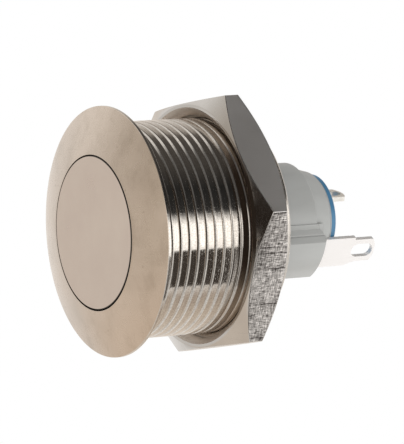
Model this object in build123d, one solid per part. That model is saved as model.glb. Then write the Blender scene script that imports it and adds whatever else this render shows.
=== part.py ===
from build123d import *
import math
import os

# Anti vandal push button for a metal panel, momentary, one make contact.
# Millimetres. The push axis is Y: the button faces -Y, the terminals point to +Y and +Z is up.
# The origin is on the axis, in the plane where the head's rear face seats on the panel.

# Head and barrel, turned in one piece
head_diameter = 25.4
head_height = 1.8            # from the panel seat to the front of the head
rim_height = 0.35            # straight edge round the head
thread_diameter = 22.0       # fine thread, over the crests
barrel_length = 15.0         # from the panel seat to the rear end of the barrel
barrel_chamfer = 0.4
lip_length = 1.4             # depth behind the panel seat of the lip that keeps the button in
main_bore_diameter = 17.3    # the button's skirt slides here
rear_bore_diameter = 18.6    # takes the collar of the switch housing
rear_bore_length = 6.1       # from the barrel's rear end to the step between the bores
edge_round = 0.06            # round of the head at the button's hole

# Push button
button_diameter = 15.5
button_travel = 1.5
button_gap = 0.10            # radial, between the button and its hole in the head
skirt_gap = 0.08             # radial, between the skirt and the main bore
stop_gap = 0.05              # between the skirt and the lip, spring at rest
skirt_length = 4.15
button_web = 2.8             # thickness of the button's face
button_wall = 2.4            # wall of the skirt
button_edge = 0.05           # chamfer round the button's face
boss_diameter = 5.0          # boss in the skirt that holds the plunger
spigot_diameter = 3.0
spigot_length = 3.0

# Seals, all nitrile O-rings
seal_gap = 0.01              # at each side of an O-ring, in its groove
seal_room = 0.1              # end play of an O-ring in its groove
button_seal_section = 1.5
button_seal_depth = 1.4      # from the skirt's front to the groove
housing_seal_section = 1.2
plunger_seal_section = 0.6

# Plunger, moulded
plunger_diameter = 4.8
plunger_gap = 0.05           # radial, in the housing's guide
plunger_end_room = 1.95      # from the guide's rear end to the end of the thick part
stem_diameter = 1.6
stem_length = 4.2            # thin part, through the bridge
clip_diameter = 2.6
clip_thickness = 0.3
clip_groove_diameter = 1.2
clip_mouth = 0.95            # opening, narrower than the groove so that it snaps on
stem_tail = 0.5              # stem behind the clip

# Switch housing, moulded
collar_thickness = 2.9
collar_gap = 0.05            # radial, between the collar and the rear bore
collar_seat_gap = 0.05       # between the collar and the bore's step
guide_wall = 1.5             # front wall, with the plunger's guide
housing_diameter = 11.7
housing_length = 12.25       # from the collar's front to the rear edge of the upper part
saddle_diameter = 13.1       # the lower part stands proud and runs further back
saddle_flat = 5.9            # its flat underside, below the axis
saddle_overhang = 0.85       # past the upper part
saddle_start_angle = 105.0   # from straight up, round towards +X; the other side mirrors it
band_diameter = 11.9         # fluted band between the upper part and the saddle
band_start_angle = 93.0
flute_angle = 98.5
flute_width = 1.1
flute_depth = 0.35
neck_front_diameter = 10.8   # the neck has moulding draft
neck_rear_diameter = 9.7
neck_length = 2.35           # past the upper part
chamber_diameter = 7.9
moulded_edge = 0.15
neck_edge = 0.25

# Snap ring that keeps the housing in the barrel
ring_thickness = 0.9
ring_gap = 0.05              # at each side of the ring
ring_groove_depth = 0.45
ring_width = 1.75            # radial
ring_opening = 4.0           # width of the open stretch

# Terminal base, moulded
base_diameter = 9.0
base_thickness = 0.75
base_plug_gap = 0.05
base_plug_room = 0.5         # between the pressed stem and the plug
base_edge = 0.12

# Solder terminals, stamped; both have the same outline
lug_thickness = 0.5
side_lug_angle = 28.0        # turn of its width from straight up, towards +X
rear_lug_angle = 106.0
lug_base_width = 3.25
lug_base_shift = -0.085      # the broad part is a little off the tip's middle
lug_tip_width = 2.55
lug_length = 5.15            # from the neck's end to the corners of the tip
lug_crown = 0.4              # how far the tip's round end stands out past its corners
lug_taper_start = 2.1        # these four from the neck's end too
lug_taper_end = 3.4
lug_step_place = 2.95
hole_place = 4.0
lug_leg_width = 1.5          # narrow leg inside the moulding
hole_width = 1.5
hole_length = 2.55
side_lug_distance = 4.9      # middle of the side terminal's sheet from the axis
side_lug_shift = -1.17       # middle of its tip along its width
rear_lug_distance = 1.38
rear_lug_shift = -2.45
mould_gap = 0.02             # round the metal in the mouldings

# Contacts
contact_diameter = 1.2
contact_thickness = 0.4
contact_reach = 2.55         # from the axis, square to the side terminal's sheet
contact_shift = 0.5          # the other way
bridge_travel = 0.98         # of the bridge and its contacts; the button goes on
closed_gap = 0.02            # left in the model when the contacts meet
bridge_thickness = 0.3
bridge_width = 2.9
bridge_overhang = 0.7        # past the middle of each contact
bridge_hole_gap = 0.1        # radial, round the stem
side_tab_end = 1.75          # inner end of each contact tab, from the axis
rear_tab_end = 0.15
clip_gap = 0.05              # between the bridge and the clip behind it

# Springs, stainless wire
return_wire = 0.7
return_coil = 9.2            # middle diameter
return_turns = 6.0
contact_wire = 0.3
contact_coil = 2.6
contact_turns = 5.0
spring_seat_gap = 0.02

# Hexagon nut
nut_across_flats = 25.0
nut_thickness = 3.9
nut_inset = 1.45             # from the barrel's end to its rear face at rest
nut_gap = 0.05               # radial, on the barrel
nut_chamfer_angle = 30.0
nut_countersink = 1.05       # radial and deep
nut_turn = 23.0              # first corner from straight up, towards +X

# Places that follow from the sizes above
head_radius = head_diameter / 2
barrel_radius = thread_diameter / 2
button_radius = button_diameter / 2
hole_radius = button_radius + button_gap
main_bore = main_bore_diameter / 2
rear_bore = rear_bore_diameter / 2
skirt_radius = main_bore - skirt_gap
skirt_front = lip_length + stop_gap
skirt_end = skirt_front + skirt_length
main_bore_length = barrel_length - rear_bore_length
button_front = -head_height
recess_floor = button_front + button_web
recess_radius = skirt_radius - button_wall
housing_front = main_bore_length + collar_seat_gap
collar_end = housing_front + collar_thickness
collar_radius = rear_bore - collar_gap
guide_end = housing_front + guide_wall
chamber_radius = chamber_diameter / 2
plunger_radius = plunger_diameter / 2
guide_radius = plunger_radius + plunger_gap
shoulder = guide_end + plunger_end_room
stem_radius = stem_diameter / 2
stem_end = shoulder + stem_length
housing_end = housing_front + housing_length
saddle_end = housing_end + saddle_overhang
neck_end = housing_end + neck_length
base_plug_front = stem_end + button_travel + base_plug_room
base_end = neck_end + base_thickness
lug_spread = math.radians(rear_lug_angle - side_lug_angle)
side_leg_shift = -contact_shift
rear_leg_shift = contact_shift * math.cos(lug_spread) - contact_reach * math.sin(lug_spread)
lug_end = neck_end + lug_length
ring_front = collar_end + ring_gap
nut_position = barrel_length - nut_inset - nut_thickness

# The contacts are stacked from the fixed tabs forward to the clip's seat
clip_front = stem_end - stem_tail - clip_thickness
bridge_rear = clip_front - clip_gap
bridge_front = bridge_rear - bridge_thickness
moving_face = bridge_rear + contact_thickness
fixed_face = moving_face + bridge_travel + closed_gap
tab_front = fixed_face + contact_thickness


def across(y, angle=0.0):
    """Plane square to the push axis: its x is up, turned by angle towards +X, its z is +Y."""
    turn = math.radians(angle)
    return Plane(origin=(0, y, 0), x_dir=(math.sin(turn), 0, math.cos(turn)), z_dir=(0, 1, 0))


def turned(points):
    """Solid of revolution about the push axis from (radius, y) corners."""
    return revolve(make_face(Polyline(*points, close=True)), axis=Axis.Y)


def ring(inner, outer, front, rear):
    """Plain ring or, with inner 0, a disc."""
    return turned([(inner, front), (outer, front), (outer, rear), (inner, rear)])


def o_ring(groove_floor, bore, front, section):
    """O-ring between a groove's floor and a bore, in a groove that starts at front."""
    middle = (groove_floor + bore) / 2
    thickness = abs(bore - groove_floor) / 2 - seal_gap
    centre = front + (section + seal_room) / 2
    profile = Pos(middle, centre) * Circle(thickness)
    return revolve(profile, axis=Axis.Y)


def coil_spring(front, rear, coil, wire, turns):
    """Compression spring on the push axis, its wire just clear of both seats."""
    pitch = (rear - front - wire - 2 * spring_seat_gap) / turns
    start = front + spring_seat_gap + wire / 2
    path = Helix(pitch=pitch, height=pitch * turns, radius=coil / 2)
    section = Plane(origin=path @ 0, z_dir=path % 0) * RegularPolygon(wire / 2, 8)
    spring = sweep(section, path=path, is_frenet=True)
    return across(start) * spring


def bezel_shell():
    """Head and threaded barrel; a lip inside the head keeps the button in."""
    rear_groove = rear_bore + ring_groove_depth
    ring_rear = ring_front + ring_thickness + ring_gap
    outer = Polyline(
        (rear_bore, barrel_length),
        (barrel_radius - barrel_chamfer, barrel_length),
        (barrel_radius, barrel_length - barrel_chamfer),
        (barrel_radius, 0),
        (head_radius, 0),
        (head_radius, -rim_height),
    )
    front_edge = hole_radius + edge_round
    dome_middle = (head_radius + front_edge) / 2
    chord_height = (head_height + rim_height) / 2
    dome = ThreePointArc(
        (head_radius, -rim_height),
        (dome_middle, -chord_height - dome_crown(head_radius - front_edge)),
        (front_edge, -head_height),
    )
    round_edge = RadiusArc(
        (front_edge, -head_height), (hole_radius, -head_height + edge_round), edge_round
    )
    inner = Polyline(
        (hole_radius, -head_height + edge_round),
        (hole_radius, lip_length),
        (main_bore, lip_length),
        (main_bore, main_bore_length),
        (rear_bore, main_bore_length),
        (rear_bore, ring_front - ring_gap),
        (rear_groove, ring_front - ring_gap),
        (rear_groove, ring_rear),
        (rear_bore, ring_rear),
        (rear_bore, barrel_length),
    )
    return revolve(make_face(outer + dome + round_edge + inner), axis=Axis.Y)


def dome_crown(width):
    """Rise of the head's dome above its chord, as on one ball from rim to button."""
    rise = head_height - rim_height
    slope = rise / width
    mean_radius = head_radius - width / 2
    ball = mean_radius / slope
    return width * width / (8 * ball)


def push_button():
    """Solid brass button with a skirt, an O-ring groove and a boss for the plunger."""
    seal_front = skirt_front + button_seal_depth
    seal_rear = seal_front + button_seal_section + seal_room
    groove = main_bore - button_seal_section
    body = turned([
        (0, button_front),
        (button_radius - button_edge, button_front),
        (button_radius, button_front + button_edge),
        (button_radius, skirt_front),
        (skirt_radius, skirt_front),
        (skirt_radius, seal_front),
        (groove, seal_front),
        (groove, seal_rear),
        (skirt_radius, seal_rear),
        (skirt_radius, skirt_end),
        (recess_radius, skirt_end),
        (recess_radius, recess_floor),
        (boss_diameter / 2, recess_floor),
        (boss_diameter / 2, skirt_end),
        (0, skirt_end),
    ])
    return body - ring(0, spigot_diameter / 2 + mould_gap, skirt_end - spigot_length, skirt_end)


def button_seal():
    seal_front = skirt_front + button_seal_depth
    return o_ring(main_bore - button_seal_section, main_bore, seal_front, button_seal_section)


def plunger():
    """Moulded rod from the button's boss through the guide to the contact bridge."""
    spigot = spigot_diameter / 2
    groove = clip_groove_diameter / 2
    clip_rear = clip_front + clip_thickness
    return turned([
        (0, skirt_end - spigot_length + mould_gap),
        (spigot, skirt_end - spigot_length + mould_gap),
        (spigot, skirt_end),
        (plunger_radius, skirt_end),
        (plunger_radius, shoulder),
        (stem_radius, shoulder),
        (stem_radius, clip_front),
        (groove, clip_front),
        (groove, clip_rear),
        (stem_radius, clip_rear),
        (stem_radius, stem_end),
        (0, stem_end),
    ])


def bridge_clip():
    """Open clip that snaps into the stem's groove behind the bridge."""
    groove = clip_groove_diameter / 2
    clip = ring(groove, clip_diameter / 2, clip_front, clip_front + clip_thickness)
    mouth = across(clip_front) * Pos(clip_diameter / 2, 0, clip_thickness / 2)
    return clip - mouth * Box(clip_diameter, clip_mouth, clip_thickness)


def switch_housing():
    """Grey moulding: a collar in the barrel, a body that shows behind it, and a neck."""
    body_radius = housing_diameter / 2
    groove = rear_bore - housing_seal_section
    groove_front = housing_front + (collar_thickness - housing_seal_section - seal_room) / 2
    groove_rear = groove_front + housing_seal_section + seal_room
    seal_groove = guide_radius + plunger_seal_section
    seal_front = housing_front + (guide_wall - plunger_seal_section - seal_room) / 2
    seal_rear = seal_front + plunger_seal_section + seal_room
    body = turned([
        (guide_radius, housing_front),
        (collar_radius, housing_front),
        (collar_radius, groove_front),
        (groove, groove_front),
        (groove, groove_rear),
        (collar_radius, groove_rear),
        (collar_radius, collar_end),
        (body_radius, collar_end),
        (body_radius, housing_end - moulded_edge),
        (body_radius - moulded_edge, housing_end),
        (neck_front_diameter / 2, housing_end),
        (neck_rear_diameter / 2, neck_end - neck_edge),
        (neck_rear_diameter / 2 - neck_edge, neck_end),
        (chamber_radius, neck_end),
        (chamber_radius, guide_end),
        (guide_radius, guide_end),
        (guide_radius, seal_rear),
        (seal_groove, seal_rear),
        (seal_groove, seal_front),
        (guide_radius, seal_front),
    ])
    body += lower_shell(band_diameter / 2, band_start_angle)
    body += lower_shell(saddle_diameter / 2, saddle_start_angle)
    for side in (1, -1):
        body -= flute(side) + band_slope(side)
    underside = across(collar_end) * Pos(-saddle_flat - saddle_diameter / 2, 0, saddle_diameter)
    body -= underside * Box(saddle_diameter, 2 * saddle_diameter, 2 * saddle_diameter)
    return body - terminal_room(side_terminal())


def lower_shell(outer, start_angle):
    """Lower part of the body, from start_angle round the underside to the same on -X."""
    inner = (chamber_radius + neck_rear_diameter / 2) / 2
    shell = turned([
        (inner, collar_end),
        (outer, collar_end),
        (outer, saddle_end - moulded_edge),
        (outer - moulded_edge, saddle_end),
        (inner, saddle_end),
    ])
    spread = 2 * outer * math.tan(math.radians(180.0 - start_angle))
    wedge = make_face(Polyline((0, 0), (-2 * outer, -spread), (-2 * outer, spread), close=True))
    return shell & across(collar_end) * extrude(wedge, saddle_end - collar_end)


def flute(side):
    """Shallow groove along the band; side is 1 on +X and -1 on -X."""
    outer = saddle_diameter / 2
    floor = band_diameter / 2 - flute_depth
    mouth = flute_width / 2 * (outer - floor) / flute_depth
    groove = make_face(Polyline((floor, 0), (outer, mouth), (outer, -mouth), close=True))
    return across(collar_end, side * flute_angle) * extrude(groove, saddle_end - collar_end)


def band_slope(side):
    """Cut that slopes the band's rear edge from the upper part's edge to the saddle's."""
    outer = saddle_diameter / 2
    start = math.radians(band_start_angle - 90)
    end = math.radians(saddle_start_angle - 90)
    high = band_diameter / 2 * math.sin(start)
    low = band_diameter / 2 * math.sin(end)
    behind = saddle_end + moulded_edge
    corner = Polyline(
        (housing_end, 0),
        (housing_end, -high),
        (saddle_end, -low),
        (behind, -low),
        (behind, 0),
        close=True,
    )
    side_view = Plane(origin=(0, 0, 0), x_dir=(0, 1, 0), z_dir=(1, 0, 0))
    block = side_view * extrude(make_face(corner), outer)
    shield = ring(0, neck_front_diameter / 2 + moulded_edge, housing_end, behind)
    return (block if side > 0 else mirror(block, about=Plane.YZ)) - shield


def lug_outline(leg_offset, seat, leg_front):
    """Stamped outline of a terminal: x across it from the tip's middle, y along the push axis."""
    tip = lug_tip_width / 2
    left = lug_base_shift - lug_base_width / 2
    right = lug_base_shift + lug_base_width / 2
    leg_left = leg_offset - lug_leg_width / 2
    leg_right = leg_offset + lug_leg_width / 2
    step = neck_end + lug_step_place
    sides = Polyline(
        (tip, lug_end),
        (tip, step),
        (right, step),
        (right, seat),
        (leg_right, seat),
        (leg_right, leg_front),
        (leg_left, leg_front),
        (leg_left, seat),
        (left, seat),
        (left, neck_end + lug_taper_start),
        (-tip, neck_end + lug_taper_end),
        (-tip, lug_end),
    )
    crown = ThreePointArc((-tip, lug_end), (0, lug_end + lug_crown), (tip, lug_end))
    hole = Pos(0, neck_end + hole_place) * Rot(0, 0, 90) * SlotOverall(hole_length, hole_width)
    return make_face(sides + crown) - hole


def sheet_plane(angle, distance):
    """Plane of a terminal's sheet: x along its width, y along the push axis."""
    turn = math.radians(angle)
    width = Vector(math.sin(turn), 0, math.cos(turn))
    normal = Vector(-math.cos(turn), 0, math.sin(turn))
    return Plane(origin=normal * distance, x_dir=width, z_dir=normal)


def bent_tab(plane, leg_shift, depth_from, depth_to):
    """Inner end of a terminal, bent square to its sheet to carry a fixed contact."""
    middle = (depth_from + depth_to) / 2
    block = Box(lug_leg_width, lug_thickness, abs(depth_to - depth_from))
    return plane * Pos(leg_shift, tab_front + lug_thickness / 2, middle) * block


def side_terminal():
    """Terminal in the housing's saddle, its contact tab bent in towards the axis."""
    plane = sheet_plane(side_lug_angle, -side_lug_distance)
    outline = lug_outline(side_leg_shift - side_lug_shift, saddle_end, tab_front)
    sheet = plane * Pos(side_lug_shift, 0) * extrude(outline, lug_thickness / 2, both=True)
    tab = bent_tab(plane, side_leg_shift, 0, side_lug_distance - side_tab_end)
    return sheet + tab


def rear_terminal():
    """Terminal through the base: the same stamping, the other way up."""
    plane = sheet_plane(rear_lug_angle, rear_lug_distance)
    outline = lug_outline(rear_lug_shift - rear_leg_shift, base_end, tab_front)
    flipped = mirror(extrude(outline, lug_thickness / 2, both=True), about=Plane.YZ)
    sheet = plane * Pos(rear_lug_shift, 0) * flipped
    tab = bent_tab(plane, rear_leg_shift, rear_tab_end - rear_lug_distance, 0)
    return sheet + tab


def terminal_room(terminal):
    """Space that a moulding leaves for the leg of a terminal."""
    return offset(terminal, amount=mould_gap, kind=Kind.INTERSECTION)


def terminal_base():
    """Blue moulding that closes the neck and holds the rear terminal."""
    plug = chamber_radius - base_plug_gap
    flange = base_diameter / 2
    body = turned([
        (0, base_plug_front),
        (plug, base_plug_front),
        (plug, neck_end),
        (flange, neck_end),
        (flange, base_end - base_edge),
        (flange - base_edge, base_end),
        (0, base_end),
    ])
    return body - terminal_room(rear_terminal()) - terminal_room(side_terminal())


def contact_places():
    """The two contact positions, as points on the cross plane turned by the lug angle."""
    return [(-contact_shift, contact_reach), (contact_shift, -contact_reach)]


def contact_rivet(place, front):
    """Head of a riveted contact, at one of the contact places."""
    head = extrude(Circle(contact_diameter / 2), contact_thickness)
    return across(front, side_lug_angle) * Pos(*place) * head


def contact_bridge():
    """Springy strip that joins the two fixed contacts."""
    reach = math.hypot(contact_reach, contact_shift)
    angle = math.degrees(math.atan2(contact_reach, -contact_shift))
    strip = Rot(0, 0, angle) * SlotOverall(2 * (reach + bridge_overhang), bridge_width)
    hole = Circle(stem_radius + bridge_hole_gap)
    return across(bridge_front, side_lug_angle) * extrude(strip - hole, bridge_thickness)


def housing_seal():
    groove_front = housing_front + (collar_thickness - housing_seal_section - seal_room) / 2
    return o_ring(rear_bore - housing_seal_section, rear_bore, groove_front, housing_seal_section)


def plunger_seal():
    seal_front = housing_front + (guide_wall - plunger_seal_section - seal_room) / 2
    floor = guide_radius + plunger_seal_section
    return o_ring(plunger_radius, floor, seal_front, plunger_seal_section)


def housing_ring():
    """Snap ring in the barrel's groove, open at the bottom."""
    outer = rear_bore + ring_groove_depth - ring_gap
    body = ring(outer - ring_width, outer, ring_front, ring_front + ring_thickness)
    mouth = across(ring_front) * Pos(-outer, 0, ring_thickness / 2)
    return body - mouth * Box(2 * ring_width + outer / 2, ring_opening, ring_thickness)


def hex_nut():
    """Hexagon nut, chamfered at both faces, its thread countersunk at both ends."""
    nut_end = nut_position + nut_thickness
    corner = nut_across_flats / math.sqrt(3)
    bore = barrel_radius + nut_gap
    rise = (corner - nut_across_flats / 2) * math.tan(math.radians(nut_chamfer_angle))
    hexagon = RegularPolygon(nut_across_flats / 2, 6, major_radius=False)
    prism = across(nut_position, nut_turn) * extrude(hexagon, nut_thickness)
    blank = turned([
        (bore + nut_countersink, nut_position),
        (nut_across_flats / 2, nut_position),
        (corner, nut_position + rise),
        (corner, nut_end - rise),
        (nut_across_flats / 2, nut_end),
        (bore + nut_countersink, nut_end),
        (bore, nut_end - nut_countersink),
        (bore, nut_position + nut_countersink),
    ])
    return prism & blank


side_place, rear_place = contact_places()
parts = {
    "bezel_shell": bezel_shell(),
    "push_button": push_button(),
    "button_seal": button_seal(),
    "plunger": plunger(),
    "return_spring": coil_spring(recess_floor, housing_front, return_coil, return_wire, return_turns),
    "plunger_seal": plunger_seal(),
    "contact_spring": coil_spring(shoulder, bridge_front, contact_coil, contact_wire, contact_turns),
    "contact_bridge": contact_bridge(),
    "bridge_clip": bridge_clip(),
    "moving_contact_side": contact_rivet(side_place, bridge_rear),
    "moving_contact_rear": contact_rivet(rear_place, bridge_rear),
    "fixed_contact_side": contact_rivet(side_place, fixed_face),
    "fixed_contact_rear": contact_rivet(rear_place, fixed_face),
    "switch_housing": switch_housing(),
    "housing_seal": housing_seal(),
    "housing_ring": housing_ring(),
    "terminal_base": terminal_base(),
    "side_terminal": side_terminal(),
    "rear_terminal": rear_terminal(),
    "hex_nut": hex_nut(),
}

os.makedirs("parts", exist_ok=True)
for name, piece in parts.items():
    export_step(piece, f"parts/{name}.step")
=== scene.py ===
import math

import bmesh
import bpy
from mathutils import Matrix, Quaternion, Vector


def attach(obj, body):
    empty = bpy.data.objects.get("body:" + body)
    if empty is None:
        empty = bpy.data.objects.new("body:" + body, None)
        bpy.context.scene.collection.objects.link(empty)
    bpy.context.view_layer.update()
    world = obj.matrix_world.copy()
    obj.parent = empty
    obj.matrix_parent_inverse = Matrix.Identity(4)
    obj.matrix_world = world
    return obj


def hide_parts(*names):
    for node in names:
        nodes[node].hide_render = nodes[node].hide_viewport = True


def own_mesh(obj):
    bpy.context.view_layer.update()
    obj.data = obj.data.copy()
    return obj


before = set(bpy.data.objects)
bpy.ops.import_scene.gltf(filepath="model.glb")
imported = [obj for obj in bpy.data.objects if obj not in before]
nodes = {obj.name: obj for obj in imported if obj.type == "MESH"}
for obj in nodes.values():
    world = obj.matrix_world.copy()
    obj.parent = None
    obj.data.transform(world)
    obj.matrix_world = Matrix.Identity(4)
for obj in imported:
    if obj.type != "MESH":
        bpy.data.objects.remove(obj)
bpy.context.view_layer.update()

# Head and barrel: one brass turning, nickel plated to a soft satin on the head's dome
# and brighter on the rolled thread of 1 mm pitch. The head seats on the panel, the bore
# takes the button from behind and the switch housing after it.
STEPS = 144
PITCH = 0.001
CREST = 0.011
ROOT = 0.01076
INSIDE_THREAD = 0.0106
THREAD_START = 0.0005
THREAD_FADE = 0.0004
FRONT_FLANK = 0.40
FLANK_STEPS = 7
BARREL_END = 0.015
LIP_END = 0.0014
MAIN_BORE = 0.00865
REAR_BORE_START = 0.0089
REAR_BORE = 0.0093
RING_GROOVE = 0.00975
RING_FRONT = 0.01185
RING_REAR = 0.01285
BORE_CHAMFER = 0.00015
DOME = 0.03566
DOME_MIDDLE = 0.032972
DOME_STEPS = 23
RIM = 0.0127
RIM_ROUND = 7e-5
HOLE = 0.00788
HOLE_ROUND = 4e-5
HOLE_OFF = (6.6e-5, -2.2e-5)
HEAD_FACE, BORE_FACE = 1, 2


def lathe(mesh, corners):
    """Spins (radius, y) corners about the push axis."""
    rim = [mesh.verts.new((0, y, r)) for r, y in corners]
    line = [mesh.edges.new(pair) for pair in zip(rim, rim[1:])]
    bmesh.ops.spin(
        mesh, geom=rim + line, cent=(0, 0, 0), axis=(0, 1, 0), dvec=(0, 0, 0),
        angle=math.tau, steps=STEPS, use_merge=True,
    )


def rounded(corners, size, steps=5, hold=0.6):
    """Rounds the inner corners of an open (radius, y) outline.

    A point on each side, the hold share of size further on, keeps the next face flat."""
    points = [Vector(corner) for corner in corners]
    outline = [points[0]]
    for before, corner, after in zip(points, points[1:], points[2:]):
        start, end = (corner + (other - corner).normalized() * size for other in (before, after))
        outline.append(start + (start - corner) * hold)
        for step in range(steps + 1):
            share = step / steps
            outline.append(start.lerp(corner, share).lerp(corner.lerp(end, share), share))
        outline.append(end + (end - corner) * hold)
    return outline + [points[-1]]


def screw_thread(mesh, profile, first, last, limit):
    """Winds a profile of (radius, share of the pitch) as a right-hand thread.

    It runs from first to last, and its radii are held to limit(radius, y)."""
    turned = set(mesh.verts)
    turns = range(int(first / PITCH) - 1, int(last / PITCH) + 1)
    rim = [mesh.verts.new((0, (t + y) * PITCH, r)) for t in turns for r, y in profile]
    line = [mesh.edges.new(pair) for pair in zip(rim, rim[1:])]
    bmesh.ops.spin(
        mesh, geom=rim + line, cent=(0, 0, 0), axis=(0, 1, 0), dvec=(0, PITCH / STEPS, 0),
        angle=math.tau, steps=STEPS, use_merge=False,
    )
    for vert in set(mesh.verts) - turned:
        radius = math.hypot(vert.co.x, vert.co.z)
        vert.co.y = min(max(vert.co.y, first), last)
        scale = limit(radius, vert.co.y) / radius
        vert.co.x *= scale
        vert.co.z *= scale


def to_object(name, mesh):
    """Turns a finished bmesh into an object of the scene."""
    data = bpy.data.meshes.new(name)
    mesh.to_mesh(data)
    mesh.free()
    made = bpy.data.objects.new(name, data)
    bpy.context.scene.collection.objects.link(made)
    return made


def finish_piece(name, mesh, material, body, sharp):
    """Merges the seams, turns the faces outward and puts the piece on its body.

    Edges above the sharp angle in degrees stay sharp. Weighted normals keep the large
    faces flat beside small rounds."""
    bmesh.ops.remove_doubles(mesh, verts=mesh.verts, dist=1e-6)
    bmesh.ops.recalc_face_normals(mesh, faces=mesh.faces)
    piece = to_object(name, mesh)
    piece.data.shade_smooth()
    piece.data.set_sharp_from_angle(angle=math.radians(sharp))
    piece.data.materials.append(material)
    normals = piece.modifiers.new("normals", "WEIGHTED_NORMAL")
    normals.keep_sharp = True
    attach(piece, body)
    return piece


def finish(name, roughness, metallic=1.0):
    """New material with its Principled shader and its object coordinates."""
    material = bpy.data.materials.new(name)
    material.use_nodes = True
    tree = material.node_tree
    shader = tree.nodes["Principled BSDF"]
    shader.inputs["Metallic"].default_value = metallic
    shader.inputs["Roughness"].default_value = roughness
    place = tree.nodes.new("ShaderNodeTexCoord").outputs["Object"]
    return material, tree, shader, place


def stretched(tree, place, size, turn=(0, 0, 0)):
    """Coordinates scaled and turned, so that a pattern draws out along one way."""
    mapping = tree.nodes.new("ShaderNodeMapping")
    mapping.inputs["Scale"].default_value = size
    mapping.inputs["Rotation"].default_value = turn
    tree.links.new(place, mapping.inputs["Vector"])
    return mapping.outputs["Vector"]


def cloudy(tree, place, scale, detail=3.0, rough=0.5):
    """Noise from 0 to 1, with scale patches to each unit of place."""
    noise = tree.nodes.new("ShaderNodeTexNoise")
    noise.inputs["Scale"].default_value = scale
    noise.inputs["Detail"].default_value = detail
    noise.inputs["Roughness"].default_value = rough
    tree.links.new(place, noise.inputs["Vector"])
    return noise.outputs["Fac"]


def remap(tree, value, low, high, to_low, to_high):
    """Value from low to high, carried over to to_low to to_high and held there."""
    ranged = tree.nodes.new("ShaderNodeMapRange")
    sockets = ("From Min", "From Max", "To Min", "To Max")
    for socket, number in zip(sockets, (low, high, to_low, to_high)):
        ranged.inputs[socket].default_value = number
    tree.links.new(value, ranged.inputs["Value"])
    return ranged.outputs["Result"]


def maths(tree, kind, first, second):
    """One Math node on two numbers or sockets."""
    node = tree.nodes.new("ShaderNodeMath")
    node.operation = kind
    for socket, value in zip(node.inputs, (first, second)):
        if isinstance(value, (int, float)):
            socket.default_value = value
        else:
            tree.links.new(value, socket)
    return node.outputs["Value"]


def both(tree, first, second):
    """Product of two shares."""
    return maths(tree, "MULTIPLY", first, second)


def blend(tree, share, first, second):
    """Colour that goes from first to second with share. Both are colours or sockets."""
    mix = tree.nodes.new("ShaderNodeMix")
    mix.data_type = "RGBA"
    for socket, value in (("Factor", share), ("A", first), ("B", second)):
        if isinstance(value, tuple):
            mix.inputs[socket].default_value = (*value, 1)
        else:
            tree.links.new(value, mix.inputs[socket])
    return mix.outputs["Result"]


def tinted(tree, value, shader, dark, light):
    """Base colour that goes from dark to light with value."""
    tree.links.new(blend(tree, value, dark, light), shader.inputs["Base Color"])


def raised(tree, value, shader, strength, distance):
    """Bump that stands distance metres high where value is 1. Gives back its node."""
    bump = tree.nodes.new("ShaderNodeBump")
    bump.inputs["Strength"].default_value = strength
    bump.inputs["Distance"].default_value = distance
    tree.links.new(value, bump.inputs["Height"])
    tree.links.new(bump.outputs["Normal"], shader.inputs["Normal"])
    return bump


def parted(tree, place):
    """The X, Y and Z of a vector, as named outputs."""
    split = tree.nodes.new("ShaderNodeSeparateXYZ")
    tree.links.new(place, split.inputs[0])
    return split.outputs


def unrolled(tree, place, radius):
    """Coordinates (way round at that radius, y) for patterns that follow a turned face."""
    part = parted(tree, place)
    join = tree.nodes.new("ShaderNodeCombineXYZ")
    around = maths(tree, "ARCTAN2", part["X"], part["Z"])
    tree.links.new(maths(tree, "MULTIPLY", around, radius), join.inputs["X"])
    tree.links.new(part["Y"], join.inputs["Y"])
    return join.outputs[0]


def far_off(tree, place):
    """Length of a vector."""
    reach = tree.nodes.new("ShaderNodeVectorMath")
    reach.operation = "LENGTH"
    tree.links.new(place, reach.inputs[0])
    return reach.outputs["Value"]


def scratches(tree, place):
    """A few fine straight scratches, two ways across the plating."""
    one = cloudy(tree, stretched(tree, place, (260, 260, 9000), (0.5, 0.9, 0.2)), 1.0, 2.0)
    other = cloudy(tree, stretched(tree, place, (9000, 300, 300), (0.3, 0.2, 0.7)), 1.0, 2.0)
    return maths(
        tree, "MAXIMUM", remap(tree, one, 0.70, 0.76, 0, 1), remap(tree, other, 0.71, 0.77, 0, 1)
    )


def paint_gap_shade(tree, shader, place, skirt):
    """Paints the plating nearly black outside the skirt radius: painted shade in the gap round the
    button.
    """
    edge = 3e-5
    plated = shader.inputs["Base Color"].links[0].from_socket
    off_axis = far_off(tree, stretched(tree, place, (1, 0, 1)))
    share = remap(tree, off_axis, skirt, skirt + edge, 0, 1)
    tree.links.new(blend(tree, share, plated, (0.07, 0.06, 0.05)), shader.inputs["Base Color"])


def pitted(tree, place, tone):
    """Takes small pits out of a tone, and soft stains a few millimetres wide."""
    pits = remap(tree, cloudy(tree, place, 1900, 1.0), 0.70, 0.78, 0, 0.45)
    stains = cloudy(tree, stretched(tree, place, (1, 0.4, 0.7)), 420, 5.0, 0.62)
    stains = remap(tree, stains, 0.50, 0.72, 0, 0.50)
    return maths(tree, "SUBTRACT", tone, maths(tree, "MAXIMUM", pits, stains))


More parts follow.
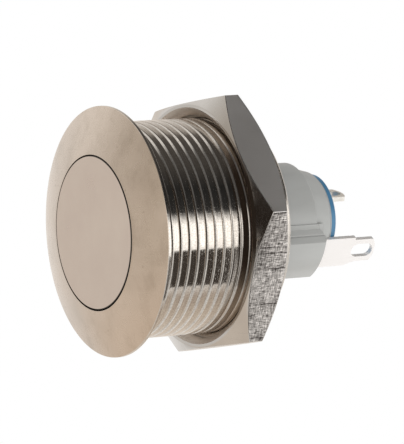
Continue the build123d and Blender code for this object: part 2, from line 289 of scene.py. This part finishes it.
def nickel(name, dark, light, roughness, spread, grain, skirt=None, worn=False):
    """Nickel plate with soft clouds of tone, a fine grain and a few scratches.

    A worn plate has pits and stains too. A plate with a skirt radius has no scratches and is painted
    nearly black outside that radius, as shade in the gap round the button."""
    material, tree, shader, place = finish(name, roughness)
    tone = clouds = cloudy(tree, place, 260, 4.0)
    rough = remap(tree, clouds, 0.3, 0.7, roughness - spread, roughness + spread)
    if not skirt:
        marks = scratches(tree, place)
        tone = maths(tree, "SUBTRACT", tone, maths(tree, "MULTIPLY", marks, 0.5))
        rough = maths(tree, "ADD", rough, maths(tree, "MULTIPLY", marks, 0.12))
    if worn:
        tone = pitted(tree, place, tone)
    tinted(tree, tone, shader, dark, light)
    if skirt:
        paint_gap_shade(tree, shader, place, skirt)
    tree.links.new(rough, shader.inputs["Roughness"])
    raised(tree, cloudy(tree, place, 9000, 2.0), shader, grain, 2e-5)
    return material


head_plate = nickel(
    "head_plate", (0.60, 0.50, 0.405), (0.80, 0.675, 0.565), roughness=0.26, spread=0.05,
    grain=0.10, worn=True,
)
# Painted shade: the bore's plate is darker than the head's plate, standing in for shade inside the
# bore; the barrel's rearward faces take it too.
bore_shade_plate = nickel(
    "bore_shade_plate", (0.42, 0.36, 0.30), (0.55, 0.47, 0.40), roughness=0.35, spread=0.05, grain=0.10
)
thread_plate, tree, shader, place = finish("thread_plate", 0.10)
streaks = cloudy(tree, stretched(tree, unrolled(tree, place, CREST), (300, 9000, 1)), 1.0, 2.0)
grains = cloudy(tree, place, 6000, 2.0)
specks = remap(tree, cloudy(tree, place, 5200, 2.0), 0.62, 0.70, 0, 1)
run = parted(tree, place)["Y"]
# Painted shade: the thread's tone falls from a few millimetres in front of the nut and stays low
# where the nut covers it.
painted_nut_shade = both(
    tree, remap(tree, run, 0.0070, 0.0097, 0, 0.45), remap(tree, run, 0.0128, 0.0138, 1, 0)
)
tone = remap(tree, maths(tree, "ADD", streaks, grains), 0.6, 1.4, 0, 1)
tone = maths(tree, "SUBTRACT", tone, painted_nut_shade)
tinted(tree, tone, shader, (0.46, 0.41, 0.36), (0.84, 0.79, 0.72))
tree.links.new(remap(tree, streaks, 0.3, 0.7, 0.07, 0.13), shader.inputs["Roughness"])
relief = maths(tree, "ADD", maths(tree, "MULTIPLY", streaks, 0.4), specks)
raised(tree, relief, shader, 0.22, 1e-5)

dome = []
for step in range(DOME_STEPS + 1):
    reach = RIM + (HOLE - RIM) * step / DOME_STEPS
    dome.append((reach, DOME_MIDDLE - math.sqrt(DOME * DOME - reach * reach)))
crest = [(CREST, 0.02), (CREST, 0.55), (CREST, 0.56)]
front_flank = []
for step in range(FLANK_STEPS + 1):
    short = 1 - step / FLANK_STEPS
    front_flank.append((CREST - (CREST - ROOT) * short * short, 1 - FRONT_FLANK * short))

shell = bmesh.new()
lathe(shell, [
    (INSIDE_THREAD, BARREL_END), (REAR_BORE + BORE_CHAMFER, BARREL_END),
    (REAR_BORE, BARREL_END - BORE_CHAMFER), (REAR_BORE, RING_REAR), (RING_GROOVE, RING_REAR),
    (RING_GROOVE, RING_FRONT), (REAR_BORE, RING_FRONT), (REAR_BORE, REAR_BORE_START),
    (MAIN_BORE, REAR_BORE_START), (MAIN_BORE, LIP_END), (HOLE, LIP_END),
])
lathe(shell, rounded([(HOLE, LIP_END), dome[-1], dome[-2]], HOLE_ROUND))
lathe(shell, dome[1:-1])
lathe(shell, rounded(
    [dome[1], dome[0], (RIM, 0.0), (INSIDE_THREAD, 0.0), (INSIDE_THREAD, THREAD_START)], RIM_ROUND
))
screw_thread(
    shell,
    crest + front_flank,
    THREAD_START,
    BARREL_END,
    lambda r, y: min(r, CREST - max(0, y - BARREL_END + THREAD_FADE, THREAD_START + THREAD_FADE - y)),
)
hole_reach = HOLE + 1e-4
for vert in shell.verts:
    if math.hypot(vert.co.x, vert.co.z) < hole_reach:
        vert.co.x += HOLE_OFF[0]
        vert.co.z += HOLE_OFF[1]
bezel = finish_piece("bezel_shell_turned", shell, thread_plate, "shell", 25)
bezel.data.materials.append(head_plate)
bezel.data.materials.append(bore_shade_plate)
# Faces in the bore and faces looking rearward take the darker bore plate, which is painted shade.
inner_faces = 0.0105
for face in bezel.data.polygons:
    if face.center.y < 0.0 and face.normal.y < -0.5:
        face.material_index = HEAD_FACE
    elif math.hypot(face.center.x, face.center.z) < inner_faces or face.normal.y > 0.9:
        face.material_index = BORE_FACE
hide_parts("bezel_shell")

# Push button: turned brass with the same satin plate, slightly warmer and more even. It stands flush
# with the head, with a thin dark gap all round, widest at the right; the gap's shade is painted
# nearly black on the button's side.
BUTTON_SKIRT = 0.00766


def dress(names, material):
    """Gives CAD nodes their material."""
    for name in names:
        for slot in nodes[name].material_slots:
            slot.material = material


button_plate = nickel(
    "button_plate", (0.625, 0.50, 0.415), (0.75, 0.64, 0.54), roughness=0.30, spread=0.03,
    grain=0.10, skirt=BUTTON_SKIRT,
)
dress(["push_button"], button_plate)

# O-rings, black nitrile rubber: round the button's skirt, round the housing's collar
# and in the housing's guide. They are pressed into their grooves.
nitrile, tree, shader, place = finish("nitrile", 0.55, 0.0)
tinted(tree, cloudy(tree, place, 1500), shader, (0.012, 0.012, 0.012), (0.03, 0.03, 0.03))
raised(tree, cloudy(tree, place, 6000), shader, 0.2, 2e-5)
dress(["button_seal", "housing_seal", "plunger_seal"], nitrile)

# Springs: stainless wire, wound right-hand. The wide one returns the button against the
# housing, the thin one presses the contact bridge and gives way after the contacts meet.
WIRE_SIDES = 12
COIL_STEPS = 40
wire, tree, shader, place = finish("spring_wire", 0.25)
tinted(tree, cloudy(tree, place, 3000), shader, (0.42, 0.41, 0.40), (0.60, 0.59, 0.58))
drawn = cloudy(tree, stretched(tree, place, (9000, 900, 9000)), 1.0)
raised(tree, drawn, shader, 0.2, 1e-5)


def wound(name, start, end, coil, thickness, turns, body):
    """Helical spring from start to end along the push axis; coil is its middle diameter."""
    mesh = bmesh.new()
    pitch = (end - start - thickness) / turns
    made = bmesh.ops.create_circle(mesh, radius=thickness / 2, segments=WIRE_SIDES)
    middle = Matrix.Translation((coil / 2, start + thickness / 2, 0))
    bmesh.ops.transform(mesh, matrix=middle, verts=made["verts"])
    steps = turns * COIL_STEPS
    bmesh.ops.spin(
        mesh, geom=list(mesh.verts) + list(mesh.edges), cent=(0, 0, 0), axis=(0, 1, 0),
        dvec=(0, pitch * turns / steps, 0), angle=math.tau * turns, steps=steps, use_merge=False,
    )
    bmesh.ops.holes_fill(mesh, edges=[edge for edge in mesh.edges if edge.is_boundary])
    spring = finish_piece(name, mesh, wire, body, 60)
    return spring


return_coil = wound(
    "return_spring_wound", start=0.00102, end=0.00893, coil=0.0092, thickness=0.0007,
    turns=6, body="shell",
)
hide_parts("return_spring")
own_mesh(return_coil)
contact_coil = wound(
    "contact_spring_wound", start=0.01242, end=0.01543, coil=0.0026, thickness=0.0003,
    turns=5, body="button",
)
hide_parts("contact_spring")
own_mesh(contact_coil)

# Plunger: a rod of natural acetal, pressed into the button's boss. It carries the contact
# bridge on its stem, between the thin spring and an open clip.
acetal, tree, shader, place = finish("natural_acetal", 0.38, 0.0)
tinted(tree, cloudy(tree, place, 700), shader, (0.70, 0.68, 0.61), (0.80, 0.79, 0.73))
raised(tree, cloudy(tree, place, 5000), shader, 0.1, 1e-5)
dress(["plunger"], acetal)

# Clip on the stem and snap ring behind the housing's collar: punched spring steel strip,
# with the fine lines of its rolling.
strip, tree, shader, place = finish("spring_strip", 0.30)
rolled = cloudy(tree, stretched(tree, place, (300, 6000, 6000)), 1.0)
tinted(tree, rolled, shader, (0.38, 0.38, 0.38), (0.55, 0.55, 0.54))
dress(["bridge_clip", "housing_ring"], strip)

# Contact bridge: a springy strip of copper alloy that joins the two fixed contacts.
# All four contacts are riveted silver alloy.
copper, tree, shader, place = finish("copper_strip", 0.28)
rolled = cloudy(tree, stretched(tree, place, (500, 500, 5000)), 1.0)
tinted(tree, rolled, shader, (0.55, 0.26, 0.15), (0.76, 0.42, 0.27))
dress(["contact_bridge"], copper)
silver, tree, shader, place = finish("contact_silver", 0.22)
tinted(tree, cloudy(tree, place, 2500), shader, (0.72, 0.71, 0.68), (0.88, 0.87, 0.84))
dress(
    ["moving_contact_side", "moving_contact_rear", "fixed_contact_side", "fixed_contact_rear"],
    silver,
)

# Switch housing: one grey moulding, semi-matt from the mould, with faint flow marks and
# softly rounded edges. Its collar sits in the barrel and its body shows behind it.
MOULDED_ROUND = 0.00013
housing_grey, tree, shader, place = finish("housing_grey", 0.42, 0.0)
flow = cloudy(tree, stretched(tree, place, (500, 120, 500)), 1.0, 4.0)
tinted(tree, flow, shader, (0.34, 0.342, 0.328), (0.45, 0.453, 0.437))
tree.links.new(remap(tree, flow, 0.3, 0.7, 0.36, 0.48), shader.inputs["Roughness"])
skin = raised(tree, cloudy(tree, place, 4200, 3.0), shader, 0.12, 2e-5)
soft_edge = tree.nodes.new("ShaderNodeBevel")
soft_edge.samples = 6
soft_edge.inputs["Radius"].default_value = MOULDED_ROUND
tree.links.new(soft_edge.outputs["Normal"], skin.inputs["Normal"])
dress(["switch_housing"], housing_grey)

# Terminal base: blue moulding that closes the housing's neck and holds the rear terminal.
# The front 0.17 mm of its flange keeps the neck's grey, as the blue starts behind a lip.
NECK_END = 0.02355
LIP = 0.00017
LIP_EDGE = 4e-5
base_blue, tree, shader, place = finish("base_blue", 0.34, 0.0)
tinted(tree, cloudy(tree, place, 600), shader, (0.04, 0.155, 0.29), (0.075, 0.22, 0.37))
blue = shader.inputs["Base Color"].links[0].from_socket
run = parted(tree, place)["Y"]
behind_lip = remap(tree, run, NECK_END + LIP, NECK_END + LIP + LIP_EDGE, 0, 1)
tree.links.new(blend(tree, behind_lip, (0.36, 0.362, 0.348), blue), shader.inputs["Base Color"])
raised(tree, cloudy(tree, place, 5000), shader, 0.12, 2e-5)
dress(["terminal_base"], base_blue)

# Solder terminals: stamped brass strip, tinned, as lit and shaded copies of one tin. The near one has
# a soft near-white shine, which is painted light, and the far one a duller and warmer one, which is
# painted shade.
tinned, tree, shader, place = finish("tinned_brass", 0.45, 0.7)
smear = cloudy(tree, stretched(tree, place, (900, 250, 900)), 1.0, 4.0)
tinted(tree, smear, shader, (0.93, 0.90, 0.88), (1.0, 0.98, 0.96))
tree.links.new(remap(tree, smear, 0.3, 0.7, 0.38, 0.52), shader.inputs["Roughness"])
raised(tree, cloudy(tree, place, 5000), shader, 0.15, 2e-5)
dress(["side_terminal"], tinned)
# Painted shade: the far terminal's tin is darker and warmer than the near one's.
shaded_tin, tree, shader, place = finish("shaded_tin", 0.30, 0.85)
tinted(tree, cloudy(tree, place, 900, 3.0), shader, (0.62, 0.58, 0.52), (0.86, 0.83, 0.78))
raised(tree, cloudy(tree, place, 5000), shader, 0.15, 2e-5)
dress(["rear_terminal"], shaded_tin)

# Hexagon nut, M22 x 1, 25 mm across flats: cut from brass bar, chamfered on both faces,
# countersunk and nickel plated. Every second flat keeps the cross-grain of its milling.
NUT_FRONT = 0.00965
NUT_REAR = 0.01355
NUT_MIDDLE = 0.0116
BLANK = 0.0140
FLAT = 0.0125
FACE = 0.0124
CHAMFER_ANGLE = math.radians(30)
BORE = 0.01105
THREAD_DEPTH = 0.01129
SINK = 0.00081
SINK_EDGE = 0.0121
CORNER_ROUND = 7e-5
FIRST_CORNER = math.radians(23)
SIXTH_TURN = math.pi / 3
MILLED, TURNED, DRAWN = 1, 2, 3
nut = bmesh.new()
lathe(nut, [
    (THREAD_DEPTH, NUT_REAR - SINK), (SINK_EDGE, NUT_REAR), (FACE, NUT_REAR), (BLANK, NUT_REAR),
    (BLANK, NUT_FRONT), (FACE, NUT_FRONT), (SINK_EDGE, NUT_FRONT),
    (THREAD_DEPTH, NUT_FRONT + SINK),
])
blank_rim = BLANK - 0.0005
for vert in nut.verts:
    radius = math.hypot(vert.co.x, vert.co.z)
    if radius > blank_rim:
        off = math.atan2(vert.co.x, vert.co.z) % SIXTH_TURN - SIXTH_TURN / 2
        reach = FLAT / math.cos(off)
        vert.co.x *= reach / radius
        vert.co.z *= reach / radius
        fall = (reach - FACE) * math.tan(CHAMFER_ANGLE)
        vert.co.y += fall if vert.co.y < NUT_MIDDLE else -fall
bmesh.ops.remove_doubles(nut, verts=nut.verts, dist=1e-6)
bent = 0.3
inner_edges = FACE - 0.0001
edges = [
    edge for edge in nut.edges
    if edge.calc_face_angle(0) > bent
    and min(math.hypot(vert.co.x, vert.co.z) for vert in edge.verts) > inner_edges
]
bmesh.ops.bevel(
    nut, geom=edges, offset=CORNER_ROUND, segments=2, profile=0.5, affect="EDGES", material=-1,
    clamp_overlap=False,
)
to_corner = Matrix.Rotation(FIRST_CORNER, 3, "Y")
bmesh.ops.rotate(nut, verts=nut.verts, cent=(0, 0, 0), matrix=to_corner)
screw_thread(
    nut,
    [(BORE, 0.0), (BORE, 0.30), (THREAD_DEPTH, 0.55), (THREAD_DEPTH, 0.75)],
    NUT_FRONT + SINK,
    NUT_REAR - SINK,
    lambda r, y: max(r, THREAD_DEPTH - min(y - NUT_FRONT - SINK, NUT_REAR - SINK - y)),
)

nut_plate = nickel(
    "nut_plate", (0.54, 0.50, 0.46), (0.70, 0.66, 0.61), roughness=0.16, spread=0.04, grain=0.12
)
# Painted light: the turned plate of the countersinks and the bore is painted lighter than the nut's
# other plate.
lit_turned_plate = nickel(
    "lit_turned_plate", (0.80, 0.73, 0.66), (0.94, 0.87, 0.80), roughness=0.42, spread=0.04, grain=0.20
)
drawn_plate = nickel(
    "drawn_plate", (0.68, 0.65, 0.62), (0.82, 0.79, 0.76), roughness=0.38, spread=0.04, grain=0.10
)
drawn_plate.node_tree.nodes["Principled BSDF"].inputs["Metallic"].default_value = 0.86

milled, tree, shader, place = finish("milled_flat", 0.32)
flat_way = unrolled(tree, place, FLAT)
along = cloudy(tree, stretched(tree, flat_way, (9000, 1100, 1)), 1.0, 3.0, 0.7)
across = cloudy(tree, stretched(tree, flat_way, (1100, 9000, 1)), 1.0, 3.0, 0.7)
scores = cloudy(tree, stretched(tree, flat_way, (2600, 30, 1)), 1.0, 0.0)
scores = remap(tree, scores, 0.70, 0.78, 0, 0.07)
patches = remap(tree, cloudy(tree, flat_way, 330, 2.0), 0.35, 0.65, 0.035, -0.02)
weave = maths(
    tree, "ADD", maths(tree, "MULTIPLY", along, 0.5), maths(tree, "MULTIPLY", across, 0.5)
)
weave = maths(tree, "SUBTRACT", weave, maths(tree, "ADD", scores, patches))
hatch = remap(tree, weave, 0.40, 0.60, 0, 1)
tinted(tree, hatch, shader, (0.07, 0.06, 0.055), (0.95, 0.90, 0.85))
tree.links.new(remap(tree, weave, 0.4, 0.6, 0.42, 0.24), shader.inputs["Roughness"])
raised(tree, weave, shader, 0.6, 4e-5)

nut_piece = finish_piece("hex_nut_cut", nut, nut_plate, "nut", 25)
for plate in (milled, lit_turned_plate, drawn_plate):
    nut_piece.data.materials.append(plate)
for face in nut_piece.data.polygons:
    reach = math.hypot(face.center.x, face.center.z)
    turn = math.degrees(math.atan2(face.normal.x, face.normal.z) - FIRST_CORNER)
    if reach > FACE and abs(face.normal.y) < 0.1:
        face.material_index = MILLED if abs(turn % 120 - 90) < 4 else DRAWN
    elif reach < SINK_EDGE:
        face.material_index = TURNED
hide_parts("hex_nut")

# Studio: a pale floor below the part, even light and a white background. The picture that bright
# metal mirrors is pale with a dark ceiling and a dark stretch behind the camera, and thin flags round
# the barrel darken what the thread's near side mirrors. The flags by the head and at the nut's front
# are painted shade in the crevices between head, thread and nut, seen only in reflections.
FLOOR_SIZE = 3
FLOOR_HEIGHT = -0.05
FLOOR_PALE = 0.10
FLOOR_WHITE = 0.22
FLAG_STEPS = 24
floor_mesh = bmesh.new()
bmesh.ops.create_grid(floor_mesh, x_segments=1, y_segments=1, size=FLOOR_SIZE)
bmesh.ops.translate(floor_mesh, verts=floor_mesh.verts, vec=(0, 0, FLOOR_HEIGHT))
floor = to_object("floor", floor_mesh)
floor.visible_glossy = False
floor.visible_diffuse = False
floor.visible_transmission = False
floor_paint, tree, shader, place = finish("floor_paint", 0.9, 0.0)
shader.inputs["Base Color"].default_value = (0.9, 0.9, 0.9, 1)
shader.inputs["Specular IOR Level"].default_value = 0.0
glow = tree.nodes.new("ShaderNodeEmission")
glow.inputs["Color"].default_value = (1, 1, 1, 1)
mix = tree.nodes.new("ShaderNodeMixShader")
white_share = remap(tree, far_off(tree, place), FLOOR_PALE, FLOOR_WHITE, 0, 1)
tree.links.new(white_share, mix.inputs[0])
tree.links.new(shader.outputs[0], mix.inputs[1])
tree.links.new(glow.outputs[0], mix.inputs[2])
tree.links.new(mix.outputs[0], tree.nodes["Material Output"].inputs["Surface"])
floor.data.materials.append(floor_paint)


def curved_flag(name, start, end, from_angle, to_angle, level, fade, soft=None):
    """Dark flag that only reflections see: an edge of (radius, y) ends spun about the push axis.

    Its two ends fade away over some degrees, and its front over the soft length."""
    mesh = bmesh.new()
    rim = [mesh.verts.new((0, y, r)) for r, y in (start, end)]
    line = [mesh.edges.new(rim)]
    turn = Matrix.Rotation(math.radians(from_angle), 3, "Y")
    bmesh.ops.rotate(mesh, verts=rim, cent=(0, 0, 0), matrix=turn)
    bmesh.ops.spin(
        mesh, geom=rim + line, cent=(0, 0, 0), axis=(0, 1, 0), dvec=(0, 0, 0),
        angle=math.radians(to_angle - from_angle), steps=FLAG_STEPS, use_merge=False,
    )
    flag = to_object(name, mesh)
    cloth, tree, shader, place = finish(name + "_cloth", 1.0, 0.0)
    shader.inputs["Base Color"].default_value = (0, 0, 0, 1)
    shader.inputs["Specular IOR Level"].default_value = 0.0
    shader.inputs["Emission Color"].default_value = (*level, 1)
    shader.inputs["Emission Strength"].default_value = 1.0
    part = parted(tree, place)
    around = maths(tree, "ARCTAN2", part["X"], part["Z"])
    low, high, faded = (math.radians(angle) for angle in (from_angle, to_angle, fade))
    cover = both(
        tree,
        remap(tree, around, low, low + faded, 0, 1),
        remap(tree, around, high - faded, high, 1, 0),
    )
    if soft:
        front = remap(tree, part["Y"], start[1], start[1] + soft, 0, 1)
        cover = both(tree, cover, front)
    tree.links.new(cover, shader.inputs["Alpha"])
    flag.data.materials.append(cloth)
    flag.visible_camera = False
    flag.visible_diffuse = False
    flag.visible_transmission = False
    flag.visible_shadow = False


SHADE = (0.030, 0.024, 0.020)
DEEP_SHADE = (0.030, 0.022, 0.017)
SOFT_SHADE = (0.065, 0.056, 0.049)
curved_flag("low_flag", (0.030, 0.006), (0.030, 0.0203), 106.8, 141.2, SOFT_SHADE, 0.4, 0.0045)
# Painted shade: dark sheets at the head's rim, behind the head and in the nut's countersink and front
# edge, seen only in reflections.
curved_flag("head_shade_flag", (0.0129, -0.0003), (0.0180, -0.0003), 34, 132, SHADE, 28)
curved_flag("seat_shade_flag", (0.0112, 0.0003), (0.0129, 0.0003), 60, 104, SHADE, 14)
curved_flag("sink_shade_flag", (0.0114, 0.0103), (0.01205, 0.00962), 40, 130, DEEP_SHADE, 25)
curved_flag("edge_shade_flag", (0.01205, 0.00962), (0.0126, 0.00960), 48, 116, DEEP_SHADE, 18)

world = bpy.data.worlds.new("studio")
bpy.context.scene.world = world
world.use_nodes = True
world.cycles.sampling_method = "NONE"
tree = world.node_tree
toward = tree.nodes.new("ShaderNodeTexCoord").outputs["Generated"]
way = parted(tree, toward)


def ramp(tree, value, stops):
    """Colour ramp of (place, colour) stops."""
    made = tree.nodes.new("ShaderNodeValToRGB")
    made.color_ramp.elements.remove(made.color_ramp.elements[0])
    made.color_ramp.elements[0].position = stops[0][0]
    made.color_ramp.elements[0].color = (*stops[0][1], 1)
    for place, colour in stops[1:]:
        made.color_ramp.elements.new(place).color = (*colour, 1)
    tree.links.new(value, made.inputs["Fac"])
    return made.outputs["Color"]


def grey(level):
    return (level, level, level)


# What mirrors see aslant to the rear, by the angle about the push axis: from the left under
# the part to the right, and back over it.
round_axis = maths(tree, "ARCTAN2", way["Z"], way["X"])
side = ramp(tree, remap(tree, round_axis, -math.pi, math.pi, 0, 1), [
    (0.0, (0.80, 0.72, 0.64)), (0.13, (0.80, 0.72, 0.64)), (0.225, (0.65, 0.57, 0.49)),
    (0.29, (0.52, 0.45, 0.39)), (0.34, grey(1.0)), (0.43, grey(1.35)), (0.46, grey(1.7)),
    (0.513, grey(1.7)), (0.548, grey(0.035)), (0.62, grey(0.025)), (0.70, (0.07, 0.065, 0.06)),
    (0.786, (0.09, 0.084, 0.078)), (0.82, (0.13, 0.12, 0.11)), (0.85, (0.44, 0.41, 0.38)),
    (0.93, (0.74, 0.70, 0.66)), (1.0, (0.80, 0.72, 0.64)),
])

# What they see elsewhere: on the left by the way along the push axis, with a high shade, a
# high glow beside it and warm light below, and on the right by the height.
left = ramp(tree, remap(tree, way["Y"], -1, 1, 0, 1), [
    (0.0, (0.56, 0.52, 0.46)), (0.055, (0.62, 0.58, 0.53)), (0.26, grey(0.8)), (0.45, grey(0.77)),
    (0.55, grey(0.96)), (0.65, grey(1.1)), (0.86, grey(0.8)),
])
head_shade = both(
    tree, remap(tree, way["Z"], 0.05, 0.30, 0, 1), remap(tree, way["Y"], -0.45, -0.78, 0, 1)
)
left = blend(tree, head_shade, left, (0.50, 0.47, 0.43))
high_glow = both(
    tree, remap(tree, way["Z"], 0.06, 0.26, 0, 1), remap(tree, way["Y"], -0.56, -0.44, 0, 1)
)
left = blend(tree, high_glow, left, grey(0.93))
low_warmth = both(
    tree, remap(tree, way["Z"], -0.12, -0.42, 0, 1), remap(tree, way["Y"], -0.16, -0.30, 0.1, 1)
)
left = blend(tree, low_warmth, left, (0.74, 0.67, 0.60))
right = ramp(tree, remap(tree, way["Z"], -1, 1, 0, 1), [
    (0.0, grey(0.75)), (0.30, grey(0.85)), (0.45, grey(1.4)), (0.585, grey(1.4)),
    (0.65, grey(0.08)), (1.0, grey(0.18)),
])
front = blend(tree, remap(tree, way["X"], -0.15, 0.12, 0, 1), left, right)
camera_band = both(
    tree, remap(tree, way["Y"], -0.33, -0.41, 0, 1), remap(tree, way["Y"], -0.64, -0.56, 0, 1)
)
behind_camera = both(tree, camera_band, remap(tree, way["X"], 0.2, 0.4, 0, 1))
front = blend(tree, behind_camera, front, grey(0.16))

# The first picture holds for ways aslant to the rear, from nearer the side higher up. Other
# light falls mostly from below, and the camera sees plain white.
sooner = remap(tree, way["Z"], 0.0, 0.15, 0, 0.28)
near_side = both(
    tree,
    remap(tree, maths(tree, "ADD", way["Y"], sooner), 0.28, 0.42, 0, 1),
    remap(tree, way["Y"], 0.72, 0.90, 1, 0),
)
mirrored = blend(tree, near_side, front, side)
from_below = tree.nodes.new("ShaderNodeVectorMath")
from_below.operation = "DOT_PRODUCT"
tree.links.new(toward, from_below.inputs[0])
from_below.inputs[1].default_value = (0.45, 0.15, -0.88)
lit = ramp(tree, remap(tree, from_below.outputs["Value"], -1, 1, 0, 1), [
    (0.0, grey(0.60)), (0.5, grey(0.88)), (1.0, grey(1.55)),
])
ray = tree.nodes.new("ShaderNodeLightPath")
shown = blend(tree, ray.outputs["Is Glossy Ray"], lit, mirrored)
seen = maths(tree, "MAXIMUM", ray.outputs["Is Camera Ray"], ray.outputs["Is Transmission Ray"])
sky = blend(tree, seen, shown, grey(1.0))
tree.links.new(sky, tree.nodes["Background"].inputs["Color"])

lamps = (("key", (-0.25, -0.35, 0.30), 0.3, 0.8), ("fill", (0.30, 0.22, -0.20), 0.2, 0.8))
for name, spot, size, power in lamps:
    lamp = bpy.data.lights.new(name, "AREA")
    lamp.size = size
    lamp.energy = power
    holder = bpy.data.objects.new(name, lamp)
    holder.location = spot
    holder.rotation_mode = "QUATERNION"
    holder.rotation_quaternion = (-Vector(spot)).to_track_quat("-Z", "Y")
    holder.visible_glossy = False
    bpy.context.scene.collection.objects.link(holder)

# Camera: fitted to the photo's rims and corners, with a long lens from the right, in front
# and a little above.
camera_data = bpy.data.cameras.new("camera")
camera_data.lens = 327.254
camera_data.sensor_width = 36
camera_data.clip_start = 0.01
camera_data.clip_end = 20
camera = bpy.data.objects.new("camera", camera_data)
camera.location = (0.354954, -0.196832, 0.023665)
camera.rotation_mode = "QUATERNION"
camera.rotation_quaternion = Quaternion((0.636979, 0.589532, 0.352301, 0.350135))
bpy.context.scene.collection.objects.link(camera)
bpy.context.scene.camera = camera
bpy.context.scene.view_settings.view_transform = "Standard"
